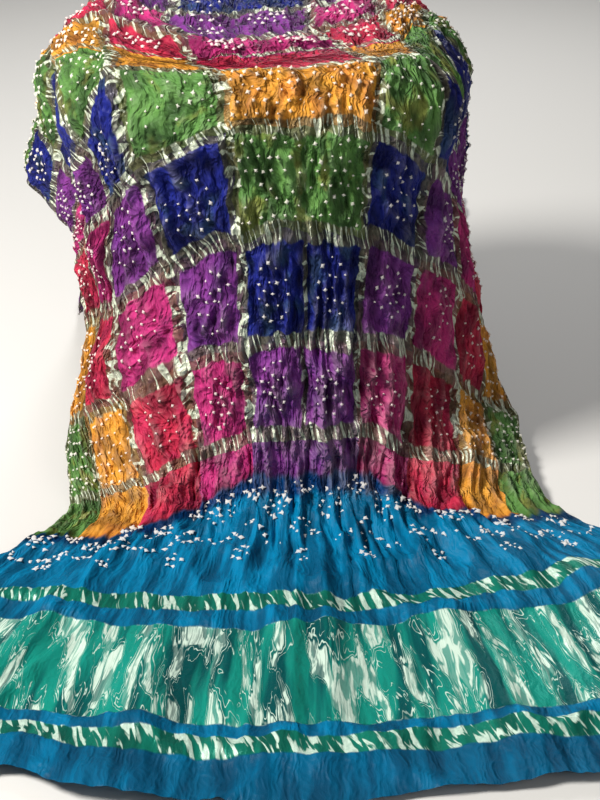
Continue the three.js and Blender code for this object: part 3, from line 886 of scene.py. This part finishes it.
# Dyes in the order in which they follow each other outwards from a check's row middle.
DYES = (
    linear(122, 54, 134),  # purple
    linear(188, 50, 116),  # magenta
    linear(192, 46, 74),  # crimson
    linear(222, 152, 56),  # orange
    linear(90, 134, 68),  # green
    linear(28, 36, 118),  # deep blue
)
BORDER_BLUE = linear(0, 124, 170)
# deep blue for the painted shade of the blue ends' creases and for their darker hem
BORDER_DEEP = linear(0, 66, 98)
RUN_TOGETHER = linear(40, 60, 150)  # where the blue and the checks' dyes overlap
TEAL = linear(24, 152, 134)
# painted shade of the teal bands, between their glints
TEAL_SHADED = linear(6, 84, 84)
NARROW_BAND_GREEN = linear(16, 92, 66)
GLINT = linear(226, 250, 232)
KHAKI = linear(106, 100, 74)
# painted glint on the metallic lines of the checks
LINE_GLINT = linear(218, 226, 202)
UNDYED = linear(244, 236, 226)
# darkest tone of the dyes, also used as painted shade in the cloth's hollows and creases
DARK_TONE_AND_SHADE = linear(12, 10, 24)


def flat_place(tree):
    """Metres across from the middle and along from the front hem, as sums."""
    uv = tree.nodes.new("ShaderNodeUVMap")
    uv.uv_map = "flat_cloth"
    split = tree.nodes.new("ShaderNodeSeparateXYZ")
    tree.links.new(uv.outputs[0], split.inputs[0])
    across = (Sum(tree, split.outputs[0]) - 0.5) * WIDTH
    along = Sum(tree, split.outputs[1]) * LENGTH
    return across, along


def lines_apart(place, pitch):
    """Distance to the nearest of evenly spaced lines, as a sum."""
    return ((place / pitch + 0.5).fract() - 0.5).abs() * pitch


def dyed_colour(tree, u, v):
    """The cloth's colours from the weave's places: checks, lines, bands and blue ends."""
    end = v.low(LENGTH - v)
    uu = u + (grain(tree, u * 40, v * 40, 3) - 0.5) * 0.012
    vv = v + (grain(tree, u * 40 + 9, v * 40, 3) - 0.5) * 0.012

    # dyed checks
    ring = (uu.abs() / CHECK_WIDTH).floor().low(HALF_CHECKS - 1)
    row = ((vv - CHECKS_START) / CHECK_LENGTH).floor().high(0).low(LAST_ROW)
    hue = (ring - row).wrap(DYE_COUNT)
    checks = stepped_colours((hue + 0.5) / DYE_COUNT, DYES)
    mottle = grain(tree, u * 30, v * 20, 3)
    faded = grain(tree, u * 26 + 5, v * 24, 3)
    hue_before = (ring - row + DYE_COUNT - 1).wrap(DYE_COUNT)
    dye_before = stepped_colours((hue_before + 0.5) / DYE_COUNT, DYES)
    checks = mixed(faded.ease(0.52, 0.68) * 0.18, checks, dye_before)
    checks = mixed(faded.ease(0.46, 0.30) * 0.35, checks, UNDYED, "SOFT_LIGHT")
    checks = mixed(mottle.ease(0.60, 0.36) * 0.55, checks, DARK_TONE_AND_SHADE)

    # blue ends, with darker lengthwise streaks of painted shade for fine creases, darker at the hem, with
    # the dyes run together where they meet
    blue = mixed(grain(tree, u * 50, v * 9, 4).ease(0.60, 0.40) * 0.7, BORDER_BLUE, BORDER_DEEP)
    blue = mixed(end.ease(0.075, 0.045) * 0.45, blue, BORDER_DEEP)
    run = end + (grain(tree, u * 30, v * 12, 3) - 0.5) * 0.03
    run = run - (DYE_CHANGE - u.abs().ease(0.12, 0.30) * DYE_RISE)
    meet = run.ease(-0.005, 0.005)
    dyed = mixed(meet, blue, checks)
    bleed = run.between(-0.022, 0.004, 0.010)
    dyed = mixed(bleed * 0.85, dyed, mixed(meet * 0.5 + 0.3, RUN_TOGETHER, checks), "MULTIPLY")

    # metallic lines of the checks, with pale dashes and blobs of painted glint on a khaki ground; the middle
    # one is mostly drawn into its crease
    line_v = lines_apart(vv - CHECKS_START, CHECK_LENGTH)
    line_u = lines_apart(uu, CHECK_WIDTH)
    half = METAL_LINE / 2
    checked = end.above(CHECKS_START - half)
    sunk = u.abs().ease(0.06, 0.02) * half * (row.above(1.5) * 0.5 + 0.5)
    tucked = u.abs().ease(0.34, 0.30) * vv.between(TUCK_START, TUCK_START + CHECK_LENGTH, 0.001)
    level = line_v.ease(half + 0.0036, half + 0.0008) * checked * (1 - tucked)
    upright = (line_u + sunk).ease(half + 0.0012, half - 0.0012) * checked
    # painted glints: pale dashes across the level lines and blobs on the upright ones, brighter or dimmer by
    # a grain
    glint_dashes = grain(tree, u * 190 + v * 50, v * 14, 1, 0.5).ease(0.55, 0.60)
    glint_blobs = grain(tree, u * 55, v * 80, 3, 0.6).ease(0.52, 0.58)
    glint_strength = grain(tree, u * 200, v * 200, 2).ease(0.3, 0.6) * 0.4 + 0.6
    ground = mixed(grain(tree, u * 60, v * 60, 2).ease(0.6, 0.35) * 0.6, KHAKI, DARK_TONE_AND_SHADE)
    ground = mixed(meet * 0.25, ground, checks)
    colour = mixed(upright, dyed, mixed(glint_blobs * glint_strength, ground, LINE_GLINT))
    colour = mixed(level, colour, mixed(glint_dashes * glint_strength, ground, LINE_GLINT))

    # metallic bands of the ends: painted glints as bright patches and outlines, drawn out lengthwise, over
    # teal with lengthwise streaks of painted shade
    field = grain(tree, u * 46 + v * 6, v * 11, 3, 0.35)
    smear = grain(tree, u * 120, v * 26, 3, 0.6).ease(0.40, 0.54)
    threads = grain(tree, u * 420, v * 26, 2).ease(0.34, 0.46)
    patches = field.ease(0.55, 0.58) * smear.high(0.2) * (threads * 0.5 + 0.5)
    inner_outline = (field - 0.46).abs().ease(0.006, 0.001) * smear
    outline = (field - 0.525).abs().ease(0.010, 0.003).high(inner_outline)
    band_glints = patches.high(outline * (smear * 0.6 + 0.4) * 0.9)
    # painted shade: darker teal in lengthwise streaks between the glints
    teal = mixed(grain(tree, u * 44, v * 4 + 4, 3).ease(0.38, 0.60), TEAL_SHADED, TEAL)
    narrow_1, wide, narrow_2 = (
        end.between(low, high, 0.0012) for low, high in (NARROW_BAND_1, WIDE_BAND, NARROW_BAND_2))
    bands = narrow_1.high(wide).high(narrow_2)
    thin = 1 - wide
    # painted glints: short pale dashes in the narrow bands
    narrow_band_glints = grain(tree, u * 130 + v * 60, v * 34, 2, 0.4).ease(0.52, 0.60) * (glint_strength * 0.5 + 0.35)
    teal = mixed(thin * 0.6, teal, NARROW_BAND_GREEN)
    band_colour = mixed(band_glints * (1 - thin) + narrow_band_glints * thin, teal, GLINT)
    colour = mixed(bands, colour, band_colour)
    metal = level.high(upright).high(bands)
    return colour, metal, bands


def attribute(tree, name):
    made = tree.nodes.new("ShaderNodeAttribute")
    made.attribute_name = name
    return Sum(tree, made.outputs["Fac"])


def cloth_material():
    material, tree, shader = new_material("dyed_weave")
    u, v = flat_place(tree)
    colour, metal, bands = dyed_colour(tree, u, v)
    end = v.low(LENGTH - v)
    checks = end.ease(DYE_CHANGE - 0.06, DYE_CHANGE)

    # creases too fine for the mesh: lengthwise ones everywhere, crossing ones in the checks
    sway = (grain(tree, u * 30, v * 30) - 0.5) * 0.02
    fine = creased(tree, (u + sway) * 210, v * 40)
    crossed = creased(tree, (u + sway) * 110, (v - sway) * 90, 1)
    weave = grain(tree, u * 1300, v * 1300, 0)
    creases = (fine * (checks * 0.55 + 0.20) + crossed * (checks * 0.9 + 0.2)) * (1 - bands * 0.5)
    # painted shade: darker in the mesh's hollows and along the fine creases; painted highlight: paler on the
    # crests
    hollow_shade = attribute(tree, "crinkle").ease(0.75, 0.15)
    crease_shade = hollow_shade * 0.70 + creases.ease(0.50, 0.15) * 0.45
    crease_shade = crease_shade * (checks * 0.6 + 0.4) * (1 - bands * 0.5)
    crest_highlight = attribute(tree, "crinkle").ease(0.80, 1.60) * creases.ease(0.40, 0.80) * checks
    colour = mixed(crest_highlight * 0.10, colour, UNDYED)
    colour = mixed(crease_shade.low(0.85), colour, DARK_TONE_AND_SHADE)
    plug(tree, shader.inputs["Base Color"], colour)
    plug(tree, shader.inputs["Metallic"], metal * 0.12)
    plug(tree, shader.inputs["Roughness"], 0.46 - metal * 0.16)
    shader.inputs["Specular IOR Level"].default_value = 0.1
    add_bump(tree, shader, creases + weave * 0.04, 0.9, 0.0042)
    return material


def dots_material():
    material, tree, shader = new_material("undyed_tips")
    u, v = flat_place(tree)
    colour, _, _ = dyed_colour(tree, u, v)
    pale = attribute(tree, "tip").ease(0.3, 0.9)
    plug(tree, shader.inputs["Base Color"], mixed(pale * 0.70, colour, UNDYED))
    shader.inputs["Roughness"].default_value = 0.6
    add_bump(tree, shader, grain(tree, u * 900, v * 900, 1), 0.3, 0.0006)
    return material


def object_place(tree):
    """A point's own place, as three sums."""
    place = tree.nodes.new("ShaderNodeTexCoord")
    split = tree.nodes.new("ShaderNodeSeparateXYZ")
    tree.links.new(place.outputs["Object"], split.inputs[0])
    return [Sum(tree, split.outputs[n]) for n in range(3)]


def wood_material():
    material, tree, shader = new_material("oiled_wood")
    x, y, z = object_place(tree)
    rings = grain(tree, (x + y) * 60, z * 7, 4, 1.5)
    pores = grain(tree, (x - y) * 600, z * 40, 2)
    colour = mixed(rings.ease(0.35, 0.65), linear(150, 106, 62), linear(104, 68, 36))
    colour = mixed(pores.ease(0.6, 0.7) * 0.4, colour, linear(60, 38, 20))
    plug(tree, shader.inputs["Base Color"], colour)
    plug(tree, shader.inputs["Roughness"], rings * 0.2 + 0.4)
    add_bump(tree, shader, rings + pores * 0.4, 0.25, 0.0008)
    return material


def padding_material():
    material, tree, shader = new_material("pad_cover")
    x, y, z = object_place(tree)
    warp = ((x * 900).math("SINE") + (y * 900).math("SINE") + (z * 900).math("SINE")) / 6 + 0.5
    shade = grain(tree, (x + z) * 20, (y - z) * 20, 3)
    plug(tree, shader.inputs["Base Color"], mixed(shade, linear(190, 178, 158), linear(164, 150, 128)))
    shader.inputs["Roughness"].default_value = 0.9
    add_bump(tree, shader, warp, 0.4, 0.0006)
    return material


# ---------------------------------------------------------------- the scene
# The camera that fits the photograph: its place from the stool's axis, and how far it looks down.
CAMERA_PLACE = (0.045, -1.41, 0.79)
CAMERA_DOWN = math.radians(29.7)
CAMERA_LENS = 58.5
FLOOR_REACH = 5
FLOOR_DROP = 0.0005


def set_camera():
    data = bpy.data.cameras.new("camera")
    data.sensor_width = 36
    data.lens = CAMERA_LENS
    camera = bpy.data.objects.new("camera", data)
    camera.location = AXIS * (1, 1, 0) + CAMERA_PLACE
    camera.rotation_euler = (math.pi / 2 - CAMERA_DOWN, 0, 0)
    bpy.context.scene.collection.objects.link(camera)
    bpy.context.scene.camera = camera


def add_light(name, place, size, power, colour=(1, 1, 1)):
    data = bpy.data.lights.new(name, "AREA")
    data.shape = "DISK"
    data.size = size
    data.energy = power
    data.color = colour
    light = bpy.data.objects.new(name, data)
    light.location = AXIS * (1, 1, 0) + place
    aim = np.array((0, -0.1, 0.2)) - place
    light.rotation_euler = (
        math.atan2(math.hypot(aim[0], aim[1]), -aim[2]), 0, math.atan2(aim[1], aim[0]) - math.pi / 2)
    bpy.context.scene.collection.objects.link(light)


def set_stage():
    corners = [(x * FLOOR_REACH, y * FLOOR_REACH, 0) for x, y in ((-1, -1), (1, -1), (1, 1), (-1, 1))]
    floor = new_piece("floor", corners, [(0, 1, 2, 3)])
    material, _, shader = new_material("pale_floor")
    shader.inputs["Base Color"].default_value = linear(214, 212, 208)
    shader.inputs["Roughness"].default_value = 0.8
    floor.data.materials.append(material)
    floor.location.z = -FLOOR_DROP
    add_light("key", (-1.5, -0.9, 1.9), 0.7, 92, (1, 0.98, 0.94))
    add_light("fill", (1.6, -1.9, 1.6), 1.6, 8)
    add_light("back", (0.2, 1.9, 2.0), 1.2, 30)
    bpy.context.scene.view_settings.view_transform = "Standard"
    world = bpy.data.worlds.new("studio")
    world.use_nodes = True
    world.node_tree.nodes["Background"].inputs[0].default_value = (0.85, 0.88, 0.92, 1)
    world.node_tree.nodes["Background"].inputs[1].default_value = 0.13
    bpy.context.scene.world = world


def dress_stool():
    wood, padding = wood_material(), padding_material()
    for name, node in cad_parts.items():
        if name == "cloth":
            continue
        node.data.materials.clear()
        node.data.materials.append(padding if name == "seat_pad" else wood)


set_camera()
set_stage()
dress_stool()

cloth = build_cloth()
cloth.data.materials.append(cloth_material())
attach(cloth, "root")
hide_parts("cloth")

knots = build_knots()
knots.data.materials.append(dots_material())
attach(knots, "root")
